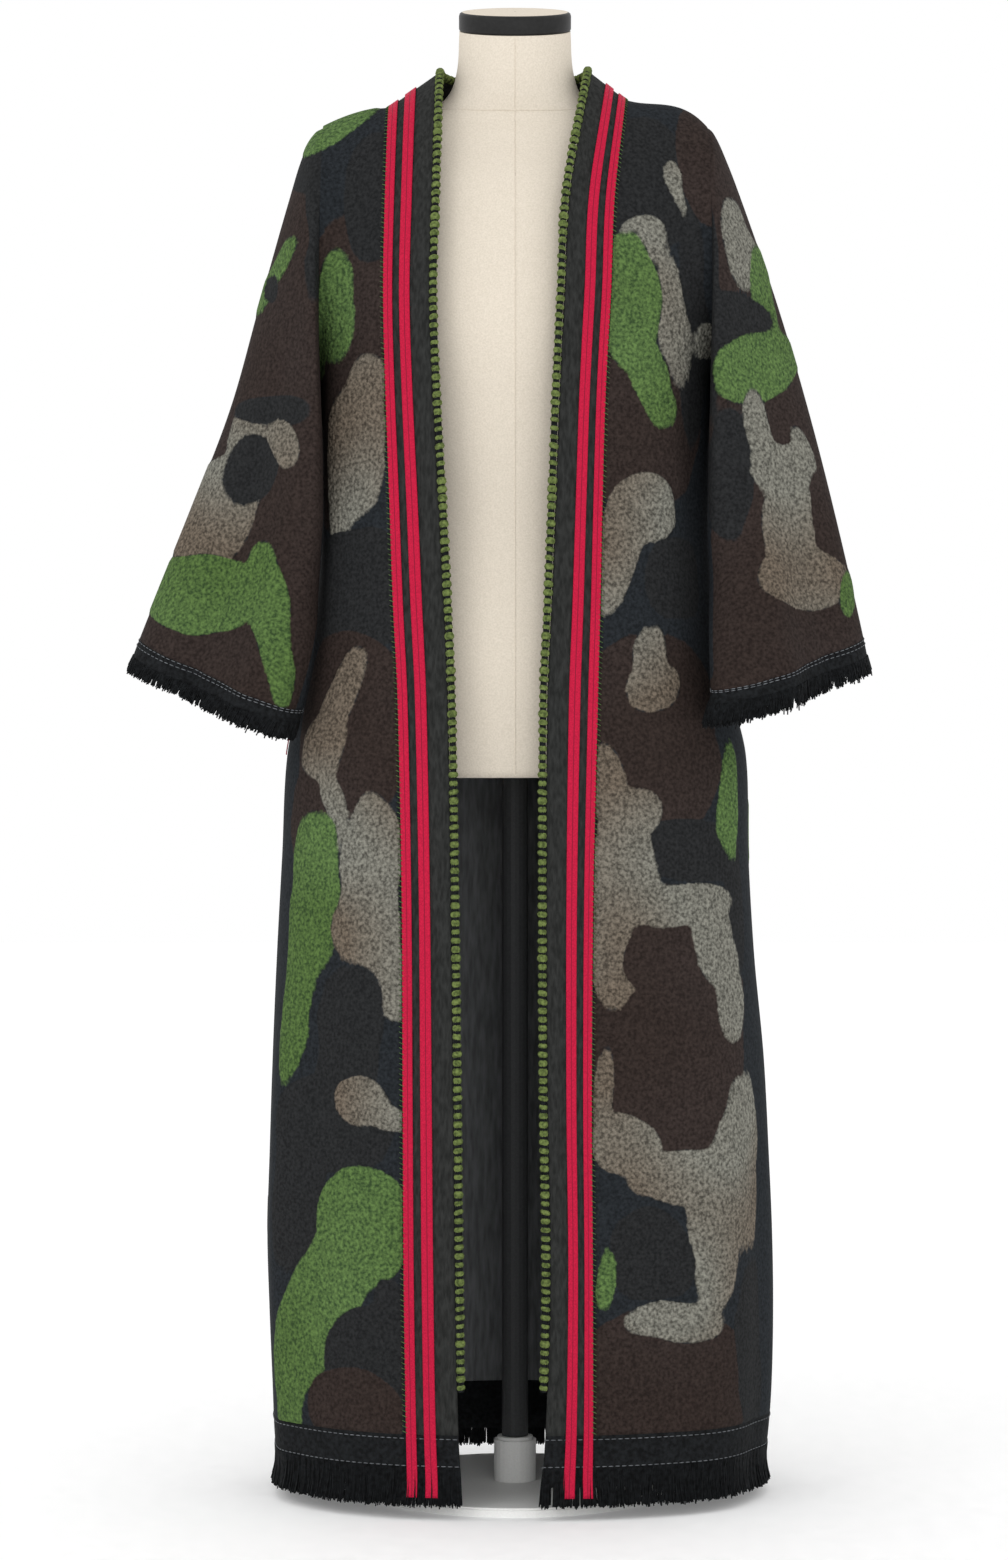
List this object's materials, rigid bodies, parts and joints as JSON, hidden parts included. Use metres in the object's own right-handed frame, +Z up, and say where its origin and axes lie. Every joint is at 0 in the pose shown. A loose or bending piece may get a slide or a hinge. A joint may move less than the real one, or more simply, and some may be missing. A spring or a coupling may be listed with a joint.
{
  "type": "knit duster on dress form",
  "caption": "Long open-front knit duster with flared sleeves, ribbon-trimmed front bands and frayed hems, hanging on a limbless dress form on a round-based stand",
  "frame": {"origin": "centre of the stand's underside on the floor", "axes": "+Z up, -Y the coat's front, +X to the viewer's right"},
  "size_m": [0.7025, 0.3332, 1.4225],
  "materials": {
    "camouflage_knit": "jacquard knit in green, taupe, brown and black, with raised looped areas",
    "charcoal_knit": "plain charcoal knit",
    "red_ribbon": "woven ribbon with a slight sheen",
    "olive_edging": "corded olive and black edging",
    "black_fringe": "frayed black yarn",
    "cream_cover": "plain cream cloth cover",
    "black_cap": "black satin plastic",
    "black_pole": "black powder coat",
    "white_stand": "white powder coat"
  },
  "bodies": {
    "root": {"back": "camouflage_knit", "front_left": "camouflage_knit", "front_right": "camouflage_knit", "sleeve_left": "camouflage_knit", "sleeve_right": "camouflage_knit", "band_left": "charcoal_knit", "band_right": "charcoal_knit", "ribbon_left_outer": "red_ribbon", "ribbon_left_inner": "red_ribbon", "ribbon_right_outer": "red_ribbon", "ribbon_right_inner": "red_ribbon", "edging_left": "olive_edging", "edging_right": "olive_edging", "hem_strip_left": "black_fringe", "hem_strip_right": "black_fringe", "hem_strip_back": "black_fringe", "fringe_left": "black_fringe", "fringe_right": "black_fringe", "fringe_back": "black_fringe", "cuff_strip_left": "black_fringe", "cuff_strip_right": "black_fringe", "cuff_fringe_left": "black_fringe", "cuff_fringe_right": "black_fringe", "torso": "cream_cover", "neck_cap": "black_cap", "pole": "black_pole", "socket": "white_stand", "base": "white_stand"}
  },
  "joints": []
}
